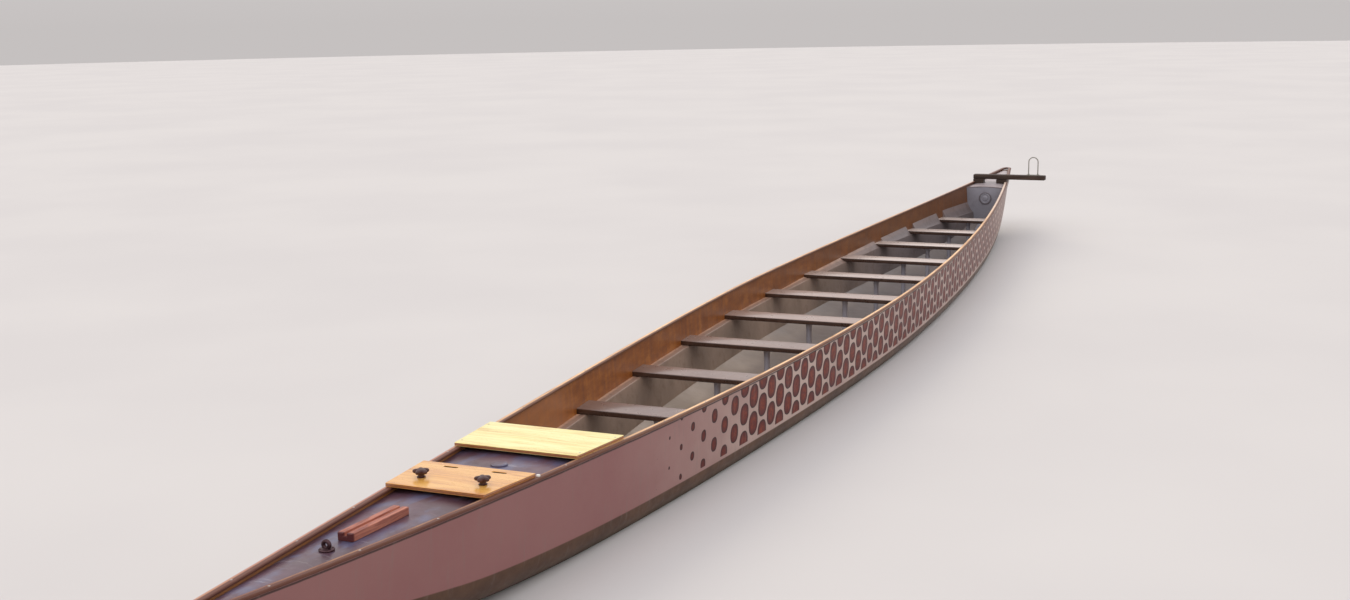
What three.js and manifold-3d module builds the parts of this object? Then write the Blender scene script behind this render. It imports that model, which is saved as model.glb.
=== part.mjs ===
// A ten bench paddling dragon boat: one open moulded hull with short decks, afloat and empty.
// Millimetres. +X to the bow, +Y to port, +Z up. Origin amidships on the centreline, at the waterline.
import * as THREE from 'three';
import { mergeVertices } from 'three/addons/utils/BufferGeometryUtils.js';
import Module from 'manifold-3d';

const wasm = await Module();
wasm.setup();

// Hull
const LENGTH = 12400;
const HALF = LENGTH / 2;
const BEAM = 1121;          // over the gunwale caps at the widest station
const WIDEST = -35;         // x of the widest station
const WALL = 12;
const GAP = 0.3;            // clearance between pieces that rest on each other
const WIDE = 700;           // further out than any part of the hull
const DEEP = -300;          // lower than any part of the hull
// Half breadth at the gunwale: end half width and fullness of the curve, forward and aft
const PLAN = { fore: { end: 12, full: 1.68 }, aft: { end: 41, full: 1.84 } };
// Gunwale height above water: amidships, then the rise to each end and the power of the curve
const SHEER = { mid: 373, fore: 127, aft: 153, power: 2.5 };
const FLARE = { mid: 10, ends: 14, most: 0.25 };
// Distance from amidships, height of the keel line and of the knuckle, share of V in the bottom
const ENDS = [
  { x: 0, keel: -96, knuckle: 78, vee: 0 },
  { x: 2000, keel: -95, knuckle: 80, vee: 0.05 },
  { x: 3000, keel: -88, knuckle: 86, vee: 0.12 },
  { x: 3800, keel: -68, knuckle: 100, vee: 0.25 },
  { x: 4300, keel: -38, knuckle: 122, vee: 0.4 },
  { x: 4700, keel: 6, knuckle: 153, vee: 0.55 },
  { x: 5000, keel: 76, knuckle: 196, vee: 0.7 },
  { x: 5300, keel: 156, knuckle: 246, vee: 0.8 },
  { x: 5600, keel: 238, knuckle: 300, vee: 0.9 },
  { x: 5900, keel: 320, knuckle: 356, vee: 1 },
  { x: 6200, keel: 396, knuckle: 412, vee: 1 },
];
const BOTTOM_STEPS = 8;
const INNER_ENDS = [-6090, 6060];   // x where the inside of the moulding stops
const OPEN_ABOVE = 60;              // the inside form runs this far above the gunwale

// Gunwale caps, decks and bulkheads
const CAP = { wide: 30, thick: 12, proud: 4, round: 3 };
const DECK = { down: 26, crown: 12, thick: 10, shoulder: 0.75, fore: 6040, aft: -6070 };
const BULKHEAD = { fore: 3800, aft: -5100, thick: 12 };
const HATCH = { z: 336, r: 60, rim: 12, hole: 52, flange: 5, lid: 18, grip: 6, gripLong: 10, gripAt: 26 };

// Benches, the ledges that carry them, and the keelson with a post to each bench
const BENCH = { z: 208, pitch: 785, front: 2806, count: 10, deep: 170, thick: 28 };
const LEDGE = { wide: 50, short: 10, lean: 12, leanAt: 84, spread: 58 };
// Aft of amidships the ledges' outer edges climb the boat's sides
const CLIMB = { from: -700, to: -4500, high: 88 };
const KEELSON = { half: 48, shoulder: 40, top: 32, high: 28, post: 17, margin: 40, seat: 4 };

// Boards across the gunwales at the bow: the drum's aft, the drummer's seat ahead of it
const BOARD = { drum: [3745, 4096], seat: [4370, 4684], thick: 15 };
const SLOT = { x: 4412, y: 104, long: 58, wide: 14 };
const KNOB = { x: 4574, y: 130, up: 1.5, stem: 12, stemHigh: 14, hub: 20, high: 16 };
const LOBE = { count: 5, r: 11, out: 21 };

// Bow fittings
const PLATE = { x: 4232, r: 34, thick: 5 };
const BLOCK = { from: 4900, to: 5230, half: 30, high: 28, groove: 7, grooveDeep: 12 };
const EYE = { x: 5328, base: 26, baseThick: 6, ring: 17, wire: 5, lift: 1 };

// Steering arm across the stern on two pads, reaching out over the port side, with the oar's loop
const ARM = { x: -5342, inboard: -161, outboard: 521, thick: 44, deep: 74, low: 498 };
const PAD = { long: 90, inner: 62, outer: 160 };
const LOOP = { y: [362, 449], wire: 5, top: 718, plateHalf: 24, plateEdge: 22, plateThick: 5, sunk: 2 };

const clamp = (v, lo, hi) => Math.min(hi, Math.max(lo, v));
const away = (x) => clamp(x > WIDEST ? (x - WIDEST) / (HALF - WIDEST) : (WIDEST - x) / (HALF + WIDEST), 0, 1);

// Half breadth of the boat at the gunwale, cap included
function gunHalf(x) {
  const plan = x > WIDEST ? PLAN.fore : PLAN.aft;
  return plan.end + (BEAM / 2 - plan.end) * (1 - away(x) ** plan.full);
}

// Height of the gunwale cap's top
function gunZ(x) {
  return SHEER.mid + (x > WIDEST ? SHEER.fore : SHEER.aft) * away(x) ** SHEER.power;
}

// Smooth curve through one column of the table of ends
function along(x, key) {
  const at = Math.abs(x);
  const last = ENDS.length - 1;
  let i = 0;
  while (i < last - 1 && at > ENDS[i + 1].x) i += 1;
  const slope = (k) => {
    if (k === 0) return 0;
    const lo = ENDS[k - 1];
    const hi = ENDS[Math.min(last, k + 1)];
    return (hi[key] - lo[key]) / (hi.x - lo.x);
  };
  const p = ENDS[i];
  const q = ENDS[i + 1];
  const h = q.x - p.x;
  const t = (at - p.x) / h;
  return (2 * t ** 3 - 3 * t ** 2 + 1) * p[key] + (t ** 3 - 2 * t ** 2 + t) * h * slope(i)
    + (-2 * t ** 3 + 3 * t ** 2) * q[key] + (t ** 3 - t ** 2) * h * slope(i + 1);
}

// How far the topside leans in from the gunwale down to the knuckle
function flare(x) {
  const wanted = FLARE.mid + FLARE.ends * (Math.abs(x) / HALF) ** 2;
  return Math.min(wanted, (gunHalf(x) - CAP.proud) * FLARE.most);
}

// Port half of a section, [y, z] from the gunwale down to the keel, moved in by 'inset'
function halfSection(x, inset) {
  const top = gunHalf(x) - CAP.proud - inset;
  const low = top - flare(x);
  const knuckle = along(x, 'knuckle') + inset / 4;
  const keel = along(x, 'keel') + inset;
  const vee = along(x, 'vee');
  const pts = [[top, gunZ(x) - CAP.thick - GAP]];
  for (let i = 0; i <= BOTTOM_STEPS; i += 1) {
    const a = (Math.PI / 2) * (i / BOTTOM_STEPS);
    const y = i === BOTTOM_STEPS ? 0 : low * Math.cos(a) ** (0.78 + 0.5 * vee);
    pts.push([y, knuckle - (knuckle - keel) * Math.sin(a) ** (0.9 + 0.12 * vee)]);
  }
  return pts;
}

// Half breadth of the inner surface of the topside at height z
function insideHalf(x, z) {
  const [[top, zTop], [low, zLow]] = halfSection(x, WALL + GAP);
  return low + (top - low) * clamp((z - zLow) / (zTop - zLow), 0, 1);
}

// Closed solid from a closed surface, turned right side out
function fromTriangles(positions, triangles) {
  const make = (index) => new wasm.Manifold(new wasm.Mesh({
    numProp: 3, vertProperties: new Float32Array(positions), triVerts: new Uint32Array(index),
  }));
  const solid = make(triangles);
  return solid.volume() > 0 ? solid : make([...triangles].reverse());
}

function fromGeometry(geometry) {
  const bare = new THREE.BufferGeometry();
  const source = geometry.index ? geometry.toNonIndexed() : geometry;
  bare.setAttribute('position', source.getAttribute('position').clone());
  const merged = mergeVertices(bare, 1e-3);
  const index = merged.index.array;
  const kept = [];
  for (let i = 0; i < index.length; i += 3) {
    const [a, b, c] = index.slice(i, i + 3);
    if (a !== b && b !== c && a !== c) kept.push(a, b, c);
  }
  return fromTriangles(merged.getAttribute('position').array, kept);
}

// Solid through sections { x, pts }, pts a closed outline of [y, z], the same number in each
function loft(given) {
  const signed = given[0].pts.reduce((sum, [y, z], i, all) => {
    const [nextY, nextZ] = all[(i + 1) % all.length];
    return sum + y * nextZ - nextY * z;
  }, 0);
  const sections = signed > 0 ? given : given.map((s) => ({ x: s.x, pts: [...s.pts].reverse() }));
  const n = sections[0].pts.length;
  const last = (sections.length - 1) * n;
  const positions = sections.flatMap((s) => s.pts.flatMap(([y, z]) => [s.x, y, z]));
  const triangles = [];
  for (let row = 0; row < last; row += n) {
    for (let i = 0; i < n; i += 1) {
      const a = row + i;
      const b = row + ((i + 1) % n);
      triangles.push(a, b, a + n, b, b + n, a + n);
    }
  }
  const fill = ({ pts }) => THREE.ShapeUtils
    .triangulateShape(pts.map(([y, z]) => new THREE.Vector2(y, z)), []);
  fill(sections[0]).forEach(([i, j, k]) => triangles.push(k, j, i));
  fill(sections[sections.length - 1]).forEach(([i, j, k]) => triangles.push(last + i, last + j, last + k));
  return fromTriangles(positions, triangles);
}

// Evenly spaced stations, and stations that crowd together towards the ends of the boat
const stations = (from, to, n) => Array.from({ length: n + 1 }, (_, i) => from + ((to - from) * i) / n);
const hullStations = (from, to, n) => stations(Math.asin(from / HALF), Math.asin(to / HALF), n)
  .map((a) => HALF * Math.sin(a));

// Whole section of the hull; 'above' carries the sides up past the gunwale
function hullSection(x, inset, above = 0) {
  const half = halfSection(x, inset);
  const [y, z] = half[0];
  if (above) half.unshift([y, z + above]);
  const starboard = half.slice(0, -1).map(([a, b]) => [-a, b]).reverse();
  return { x, pts: [...half, ...starboard] };
}

function box([long, wide, high], [x, y, z] = [0, 0, 0]) {
  return fromGeometry(new THREE.BoxGeometry(long, wide, high).translate(x, y, z));
}
function rod(axis, radius, length, [x, y, z] = [0, 0, 0], sides = 24) {
  const g = new THREE.CylinderGeometry(radius, radius, length, sides);
  if (axis === 'x') g.rotateZ(Math.PI / 2);
  if (axis === 'z') g.rotateX(Math.PI / 2);
  return fromGeometry(g.translate(x, y, z));
}
const join = (solids) => solids.reduce((all, solid) => all.add(solid));

const FINISH = {
  shell: { color: 0xd9d5d6, roughness: 0.35, metalness: 0 },
  liner: { color: 0xb9b8c4, roughness: 0.4, metalness: 0 },
  cap: { color: 0xc79a72, roughness: 0.5, metalness: 0 },
  ply: { color: 0xe0b878, roughness: 0.5, metalness: 0 },
  wood: { color: 0x9c6a44, roughness: 0.6, metalness: 0 },
  dark: { color: 0x3a211a, roughness: 0.6, metalness: 0 },
  metal: { color: 0x9a938c, roughness: 0.35, metalness: 0.9 },
};
const boat = new THREE.Group();
boat.name = 'dragon_boat';
function add(name, solid, finish, place = [0, 0, 0]) {
  const mesh = solid.getMesh();
  const g = new THREE.BufferGeometry();
  g.setAttribute('position', new THREE.BufferAttribute(new Float32Array(mesh.vertProperties), mesh.numProp));
  g.setIndex(new THREE.BufferAttribute(new Uint32Array(mesh.triVerts), 1));
  const piece = new THREE.Mesh(g, new THREE.MeshStandardMaterial(FINISH[finish]));
  piece.name = name;
  piece.position.set(...place);
  boat.add(piece);
}
const SIDES = Object.entries({ port: 1, starboard: -1 });

// Hull moulding: outer form less the inner form, open along the top
const HULL_STATIONS = 44;
const inside = (inset, trim) => loft(hullStations(INNER_ENDS[0] + trim, INNER_ENDS[1] - trim, HULL_STATIONS)
  .map((x) => hullSection(x, inset, OPEN_ABOVE)));
const outer = loft(hullStations(-HALF, HALF, HULL_STATIONS).map((x) => hullSection(x, 0)));
add('hull_shell', outer.subtract(inside(WALL, 0)), 'shell');
// The room in the shell, drawn in by the clearance, trims all that fits in it
const room = inside(WALL + GAP, 1);

// Gunwale caps, one a side, from end to end
SIDES.forEach(([side, s]) => {
  const sections = hullStations(-HALF, HALF, 40).map((x) => {
    const out = gunHalf(x);
    const inn = Math.max(out - CAP.wide, GAP / 2);
    const top = gunZ(x);
    const low = top - CAP.thick;
    const round = Math.min(CAP.round, (out - inn) / 4);
    const pts = [[inn, low], [out, low], [out, top - round],
      [out - round, top], [inn + round, top], [inn, top - round]];
    return { x, pts: pts.map(([y, z]) => [s * y, z]) };
  });
  add(`gunwale_${side}`, loft(sections), 'cap');
});

// Decks: crowned plates between the gunwales, at the bow and at the stern
const deckTop = (x) => gunZ(x) - DECK.down + DECK.crown;
function deck(from, to) {
  const sections = hullStations(from, to, 12).map((x) => {
    const z = gunZ(x) - DECK.down;
    const w = gunHalf(x);
    const shoulder = z + DECK.crown * DECK.shoulder;
    return {
      x,
      pts: [[w, z], [w / 2, shoulder], [0, z + DECK.crown], [-w / 2, shoulder], [-w, z],
        [-w, z - DECK.thick], [0, z + DECK.crown - DECK.thick], [w, z - DECK.thick]],
    };
  });
  return loft(sections).intersect(room);
}
add('foredeck', deck(BULKHEAD.fore, DECK.fore), 'liner');
add('aft_deck', deck(DECK.aft, BULKHEAD.aft), 'liner');

// Bulkheads under the decks' inboard edges. The aft one carries a round inspection hatch.
function bulkhead(from, to) {
  const sections = [from, to].map((x) => {
    const side = gunZ(x) - DECK.down - DECK.thick - GAP;
    const half = [[WIDE, DEEP], [WIDE, side], [gunHalf(x), side]];
    return { x, pts: [...half, [0, side + DECK.crown], ...half.map(([y, z]) => [-y, z]).reverse()] };
  });
  return loft(sections).intersect(room);
}
add('fore_bulkhead', bulkhead(BULKHEAD.fore, BULKHEAD.fore + BULKHEAD.thick), 'liner');
const hatchHole = rod('x', HATCH.hole, BULKHEAD.thick * 4, [BULKHEAD.aft, 0, HATCH.z], 32);
add('aft_bulkhead', bulkhead(BULKHEAD.aft - BULKHEAD.thick, BULKHEAD.aft).subtract(hatchHole), 'liner');
add(
  'hatch_ring',
  rod('x', HATCH.r, HATCH.flange, [0, 0, 0], 40)
    .subtract(rod('x', HATCH.r - HATCH.rim, HATCH.flange * 2, [0, 0, 0], 32)),
  'liner',
  [BULKHEAD.aft + GAP + HATCH.flange / 2, 0, HATCH.z],
);
const grips = [HATCH.gripAt, -HATCH.gripAt]
  .map((y) => rod('x', HATCH.grip, HATCH.gripLong, [HATCH.lid / 2 + HATCH.gripLong / 2 - 2, y, 0], 16));
add(
  'hatch_lid',
  join([rod('x', HATCH.r - HATCH.rim - GAP, HATCH.lid, [0, 0, 0], 32), ...grips]),
  'liner',
  [BULKHEAD.aft - 1, 0, HATCH.z],
);

// Benches: planks right across the boat, front edge rounded
const benchFront = (i) => BENCH.front - BENCH.pitch * i;
const benches = Array.from({ length: BENCH.count }, (_, i) => i);
const BENCH_TOP = BENCH.z + GAP + BENCH.thick;
benches.forEach((i) => {
  const front = benchFront(i);
  const back = front - BENCH.deep;
  const low = BENCH.z + GAP;
  const outline = [[back, low], [front - 4, low], [front, low + 4], [front, BENCH_TOP - 8],
    [front - 3, BENCH_TOP - 3], [front - 8, BENCH_TOP], [back + 6, BENCH_TOP], [back, BENCH_TOP - 6]];
  const shape = new THREE.Shape(outline.map(([x, z]) => new THREE.Vector2(x, z)));
  const plank = new THREE.ExtrudeGeometry(shape, { depth: WIDE * 2, bevelEnabled: false });
  plank.rotateX(Math.PI / 2);
  plank.translate(0, WIDE, 0);
  add(`bench_${String(i + 1).padStart(2, '0')}`, fromGeometry(plank).intersect(room), 'liner');
});

// Side ledges: buoyancy boxes along each side. The benches lie on them, in rebates where they climb.
const ledgeTop = (x) => BENCH.z
  + CLIMB.high * clamp((CLIMB.from - x) / (CLIMB.from - CLIMB.to), 0, 1);
const rebates = join(benches.map((i) => box(
  [BENCH.deep + GAP * 2, WIDE * 2, CLIMB.high * 2],
  [benchFront(i) - BENCH.deep / 2, 0, BENCH.z + CLIMB.high],
)));
SIDES.forEach(([side, s]) => {
  const sections = hullStations(BULKHEAD.aft + GAP, BULKHEAD.fore - LEDGE.short, 32).map((x) => {
    const edge = insideHalf(x, BENCH.z) - LEDGE.wide;
    const outer = ledgeTop(x);
    const pts = [[WIDE, outer], [insideHalf(x, outer), outer], [edge, BENCH.z],
      [edge - LEDGE.lean, BENCH.z - LEDGE.leanAt], [edge - LEDGE.spread, DEEP], [WIDE, DEEP]];
    return { x, pts: pts.map(([y, z]) => [s * y, z]) };
  });
  add(`side_ledge_${side}`, loft(sections).intersect(room).subtract(rebates), 'liner');
});

// Keelson: a low rib down the middle of the floor, with a post up to each bench
const floorZ = (x) => along(x, 'keel') + WALL + GAP;
const rib = loft(hullStations(BULKHEAD.aft + KEELSON.margin, BULKHEAD.fore - KEELSON.margin, 24).map((x) => {
  const top = floorZ(x) + KEELSON.high;
  const half = [[KEELSON.half, DEEP], [KEELSON.shoulder, top - 6], [KEELSON.top, top]];
  return { x, pts: [...half, ...half.map(([y, z]) => [-y, z]).reverse()] };
})).intersect(room);
const posts = benches.map((i) => {
  const x = benchFront(i) - BENCH.deep / 2;
  const foot = floorZ(x) + KEELSON.high - KEELSON.seat;
  return rod('z', KEELSON.post, BENCH.z - foot, [x, 0, (BENCH.z + foot) / 2], 20);
});
add('keelson', join([rib, ...posts]), 'liner');

// A board that lies on both gunwale caps and ends flush with them
function board(from, to) {
  return loft([from, to].map((x) => {
    const half = gunHalf(x);
    const low = gunZ(x) + GAP;
    return { x, pts: [[half, low], [half, low + BOARD.thick], [-half, low + BOARD.thick], [-half, low]] };
  }));
}
add('drum_board', board(...BOARD.drum), 'ply');
const slots = SIDES
  .map(([, s]) => box([SLOT.wide, SLOT.long, BOARD.thick * 8], [SLOT.x, s * SLOT.y, gunZ(SLOT.x)]));
add('drummer_seat_board', board(...BOARD.seat).subtract(join(slots)), 'ply');

// Star knobs that clamp the seat board
const knobMid = KNOB.stemHigh + KNOB.high / 2 - 1;
const lobes = stations(0, 2 * Math.PI, LOBE.count).slice(1)
  .map((a) => rod('z', LOBE.r, KNOB.high, [Math.cos(a) * LOBE.out, Math.sin(a) * LOBE.out, knobMid], 16));
const knob = join([
  rod('z', KNOB.stem, KNOB.stemHigh, [0, 0, KNOB.stemHigh / 2], 16),
  rod('z', KNOB.hub, KNOB.high, [0, 0, knobMid], 20),
  ...lobes,
]);
SIDES.forEach(([side, s]) => {
  add(`seat_knob_${side}`, knob, 'dark', [KNOB.x, s * KNOB.y, gunZ(KNOB.x) + GAP + BOARD.thick + KNOB.up]);
});

// Grooved block on the foredeck that takes the figurehead, the deck eye ahead of it, the plate behind
add('figurehead_block', loft([BLOCK.from, BLOCK.to].map((x) => {
  const low = deckTop(x) + GAP;
  const top = low + BLOCK.high;
  const bed = top - BLOCK.grooveDeep;
  const half = [[BLOCK.half, low], [BLOCK.half, top], [BLOCK.groove, top], [BLOCK.groove, bed]];
  return { x, pts: [...half, ...half.map(([y, z]) => [-y, z]).reverse()] };
})), 'wood');
const ring = new THREE.TorusGeometry(EYE.ring, EYE.wire, 10, 24);
ring.rotateX(Math.PI / 2);
ring.translate(0, 0, EYE.baseThick + EYE.ring - 1);
add(
  'deck_eye',
  rod('z', EYE.base, EYE.baseThick, [0, 0, EYE.baseThick / 2], 28).add(fromGeometry(ring)),
  'dark',
  [EYE.x, 0, deckTop(EYE.x) + GAP + EYE.lift],
);
add(
  'deck_plate',
  rod('z', PLATE.r, PLATE.thick, [0, 0, 0], 32),
  'liner',
  [PLATE.x, 0, deckTop(PLATE.x + PLATE.r) + GAP + PLATE.thick / 2],
);

// Height of the aft deck's top away from the centreline
function deckAt(x, y) {
  const shoulder = gunHalf(x) / 2;
  const low = gunZ(x) - DECK.down;
  if (y > shoulder) return low + DECK.crown * DECK.shoulder * (2 - y / shoulder);
  return low + DECK.crown * (1 - (1 - DECK.shoulder) * (y / shoulder));
}

// Steering arm, the oar's loop, and two pads that stand on the aft deck and lap over the caps
SIDES.forEach(([side, s]) => {
  const sections = stations(ARM.x - PAD.long / 2, ARM.x + PAD.long / 2, 2).map((x) => {
    const shoulder = gunHalf(x) / 2;
    const capEdge = gunHalf(x) - CAP.wide - GAP * 2;
    const overCap = gunZ(x) + GAP;
    const top = ARM.low - GAP;
    const foot = [PAD.inner, shoulder, capEdge].map((y) => [y, deckAt(x, y) + GAP]);
    const pts = [...foot, [capEdge, overCap], [PAD.outer, overCap], [PAD.outer, top], [PAD.inner, top]];
    return { x, pts: pts.map(([y, z]) => [s * y, z]) };
  });
  add(`arm_pad_${side}`, loft(sections), 'dark');
});
add(
  'steering_arm',
  box([ARM.deep, ARM.outboard - ARM.inboard, ARM.thick]),
  'dark',
  [ARM.x, (ARM.inboard + ARM.outboard) / 2, ARM.low + ARM.thick / 2],
);
const loopHalf = (LOOP.y[1] - LOOP.y[0]) / 2;
const loopFoot = LOOP.plateThick - LOOP.sunk;
const loopBend = LOOP.top - LOOP.wire - loopHalf - (ARM.low + ARM.thick + GAP);
const bend = loopHalf * 0.5523;     // handle of a cubic that follows a quarter circle
const at = (y, z) => new THREE.Vector3(0, y, z);
const hoop = new THREE.CurvePath();
hoop.add(new THREE.LineCurve3(at(-loopHalf, loopFoot), at(-loopHalf, loopBend)));
hoop.add(new THREE.CubicBezierCurve3(
  at(-loopHalf, loopBend),
  at(-loopHalf, loopBend + bend),
  at(-bend, loopBend + loopHalf),
  at(0, loopBend + loopHalf),
));
hoop.add(new THREE.CubicBezierCurve3(
  at(0, loopBend + loopHalf),
  at(bend, loopBend + loopHalf),
  at(loopHalf, loopBend + bend),
  at(loopHalf, loopBend),
));
hoop.add(new THREE.LineCurve3(at(loopHalf, loopBend), at(loopHalf, loopFoot)));
const wire = new THREE.Shape(stations(0, 2 * Math.PI, 12).slice(0, -1)
  .map((a) => new THREE.Vector2(Math.cos(a) * LOOP.wire, Math.sin(a) * LOOP.wire)));
const hoopGeometry = new THREE.ExtrudeGeometry(wire, { steps: 32, extrudePath: hoop, bevelEnabled: false });
const plateSize = [LOOP.plateHalf * 2, loopHalf * 2 + LOOP.plateEdge * 2, LOOP.plateThick];
add(
  'oar_loop',
  fromGeometry(hoopGeometry).add(box(plateSize, [0, 0, LOOP.plateThick / 2])),
  'metal',
  [ARM.x, (LOOP.y[0] + LOOP.y[1]) / 2, ARM.low + ARM.thick + GAP],
);

export default boat;
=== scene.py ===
"""Looks of a ten bench dragon boat, afloat and empty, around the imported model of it.

Metres. +X to the bow, +Y to port, +Z up, origin amidships at the waterline.
"""
import math

import bmesh
import bpy
import numpy as np
from mathutils import Matrix, Vector


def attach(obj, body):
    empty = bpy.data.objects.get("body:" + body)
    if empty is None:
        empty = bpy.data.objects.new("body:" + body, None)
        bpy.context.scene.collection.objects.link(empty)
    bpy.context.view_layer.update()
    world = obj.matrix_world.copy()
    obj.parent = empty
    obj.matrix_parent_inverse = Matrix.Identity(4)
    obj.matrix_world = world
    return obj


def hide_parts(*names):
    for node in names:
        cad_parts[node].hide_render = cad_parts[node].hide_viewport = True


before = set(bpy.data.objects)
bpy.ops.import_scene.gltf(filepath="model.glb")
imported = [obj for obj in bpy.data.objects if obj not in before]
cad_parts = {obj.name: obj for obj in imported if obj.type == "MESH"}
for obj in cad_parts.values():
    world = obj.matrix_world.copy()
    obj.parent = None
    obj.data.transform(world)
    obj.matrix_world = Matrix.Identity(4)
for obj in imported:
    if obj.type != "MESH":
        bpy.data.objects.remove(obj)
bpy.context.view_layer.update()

# Hull form
HALF = 6.2
BEAM = 1.121
WIDEST = -0.035
WALL = 0.012
GAP = 0.0003
PLAN_FORE = (0.012, 1.68)
PLAN_AFT = (0.041, 1.84)
SHEER_MID, SHEER_FORE, SHEER_AFT, SHEER_POWER = 0.373, 0.127, 0.153, 2.5
FLARE_MID, FLARE_ENDS, FLARE_MOST = 0.01, 0.014, 0.25
# Distance from amidships, height of the keel line and of the knuckle, share of V in the bottom
ENDS = np.array([
    (0.0, -0.096, 0.078, 0.00),
    (2.0, -0.095, 0.080, 0.05),
    (3.0, -0.088, 0.086, 0.12),
    (3.8, -0.068, 0.100, 0.25),
    (4.3, -0.038, 0.122, 0.40),
    (4.7, 0.006, 0.153, 0.55),
    (5.0, 0.076, 0.196, 0.70),
    (5.3, 0.156, 0.246, 0.80),
    (5.6, 0.238, 0.300, 0.90),
    (5.9, 0.320, 0.356, 1.00),
    (6.2, 0.396, 0.412, 1.00),
])
KEEL, KNUCKLE, VEE = 1, 2, 3
# Powers that round the bottom, across and down, and what a full V adds to each
ROUND_ACROSS, ROUND_DOWN = 0.78, 0.9
VEE_ACROSS, VEE_DOWN = 0.5, 0.12
INNER_ENDS = (-6.09, 6.06)
NOSE = {1: 0.01, -1: 0.034}        # how far the ends are rounded, forward and aft

# Gunwale caps, decks, bulkheads
CAP_WIDE, CAP_THICK, CAP_PROUD, CAP_ROUND = 0.03, 0.012, 0.004, 0.0052
DECK_DOWN, DECK_CROWN, DECK_POWER, DECK_THICK = 0.026, 0.012, 2.2, 0.01
FORE_DECK, AFT_DECK = (3.8, 6.04), (-6.07, -5.1)
FORE_BULKHEAD, AFT_BULKHEAD = 3.8, -5.1
HATCH_Z, HATCH_R = 0.336, 0.06

# Benches, ledges, floor rib and posts
BENCHES = 10
BENCH_PITCH, BENCH_FRONT, BENCH_DEEP = 0.785, 2.806, 0.17
BENCH_LOW, BENCH_TOP, BENCH_ROUND, BENCH_DIP = 0.2083, 0.2363, 0.006, 0.0012
BENCH_MIDDLES = BENCH_FRONT - BENCH_DEEP / 2 - BENCH_PITCH * np.arange(BENCHES)
LEDGE_Z, LEDGE_ROUND = 0.208, 0.007
LEDGE_WIDE, LEDGE_LEAN, LEDGE_LEAN_AT, LEDGE_SPREAD = 0.05, 0.012, 0.084, 0.058
LEDGE_DEEP = 0.3                    # the inner face's slant is measured to this far below the water
CLIMB_FROM, CLIMB_TO, CLIMB_HIGH = -0.7, -4.5, 0.088
LEDGE_ENDS = (-5.0997, 3.79)
PAN_LIFT, PAN_THICK, PAN_LAP = 0.0015, 0.0012, 0.004
RIB_HALF, RIB_FOOT, RIB_HIGH, RIB_SHORT = 0.048, 0.032, 0.028, 0.04
POST, POST_FLARE = 0.017, 0.012

# Boards and bow fittings
DRUM_BOARD = (3.745, 4.096)
SEAT_BOARD = (4.37, 4.684)
BOARD_THICK = 0.015
BOARD_INSET = {1: 0.02, -1: 0.004}        # how far the boards stop short of the caps' outer edges
SLOT_X, SLOT_Y, SLOT_LONG, SLOT_WIDE = 4.412, 0.104, 0.062, 0.015
KNOB_X, KNOB_Y, KNOB_UP = 4.574, 0.13, 0.0015
KNOB_HUB, KNOB_LOBE, KNOB_HEAD, KNOB_HALF = 0.0195, 0.0125, 0.013, 0.0085
PLATE_X, PLATE_R = 4.232, 0.034
SCREW_SPAN, SCREW_EVERY = (-5.7, 5.75), 0.38
SCREW_LEAST = 0.06                  # no screws where the boat is narrower than this
SCREW_INSET = (0.045, 0.014)        # drum board's screws, in from its fore and side edges
BUTTON_R, BUTTON_BEHIND, BUTTON_IN = 0.0085, 0.014, 0.019
BLOCK = (4.9, 5.23)
BLOCK_HALF, BLOCK_HIGH, BLOCK_GROOVE, BLOCK_GROOVE_DEEP = 0.03, 0.028, 0.007, 0.012
EYE_X, EYE_BASE, EYE_RING, EYE_WIRE, EYE_SCREWS = 5.328, 0.026, 0.0115, 0.007, 0.0195

# Steering arm and the oar's loop
ARM_X, ARM_LOW, ARM_THICK, ARM_DEEP = -5.342, 0.498, 0.044, 0.074
ARM_SPAN = (-0.161, 0.521)
PAD_LONG, PAD_INNER, PAD_OUTER = 0.09, 0.062, 0.16
LOOP_Y = (0.362, 0.449)
LOOP_WIRE, LOOP_TOP = 0.005, 0.718
LOOP_PLATE = (0.048, 0.022)         # the plate's width, and how far it runs past each leg

# Studio: the floor's hole and reach, and the photographer's place, turn and lens
WATER_END, FLOOR_LAP, FLOOR_REACH = 4.66, 0.004, 90
CAMERA_PLACE = (8.9864, 2.7843, 2.0873)
YAW, PITCH, ROLL = 0.4045, 0.1889, -0.0183
LENS, SENSOR = 39.38, 36

SIDES = {"port": 1, "starboard": -1}


def xyz(x, y, z):
    """Three coordinates spread over one grid, as points [..., 3]."""
    return np.stack(np.broadcast_arrays(x, y, z), -1)


def circle(steps):
    """Angles once round, the last one left out."""
    return np.linspace(0, 2 * math.pi, steps, endpoint=False)


# Form of the hull

def away(x):
    """Share of the way from the widest station to the end of the boat on that side."""
    fore = (x - WIDEST) / (HALF - WIDEST)
    aft = (WIDEST - x) / (HALF + WIDEST)
    return np.clip(np.where(x > WIDEST, fore, aft), 0, 1)


def gun_half(x):
    """Half breadth at the gunwale: the end's half width plus a power curve of the way to that end."""
    x = np.asarray(x, float)
    end = np.where(x > WIDEST, PLAN_FORE[0], PLAN_AFT[0])
    full = np.where(x > WIDEST, PLAN_FORE[1], PLAN_AFT[1])
    return end + (BEAM / 2 - end) * (1 - away(x) ** full)


def gun_z(x):
    """Height of the gunwale cap's top: level amidships, rising to the ends as a power of the way."""
    x = np.asarray(x, float)
    return SHEER_MID + np.where(x > WIDEST, SHEER_FORE, SHEER_AFT) * away(x) ** SHEER_POWER


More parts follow.
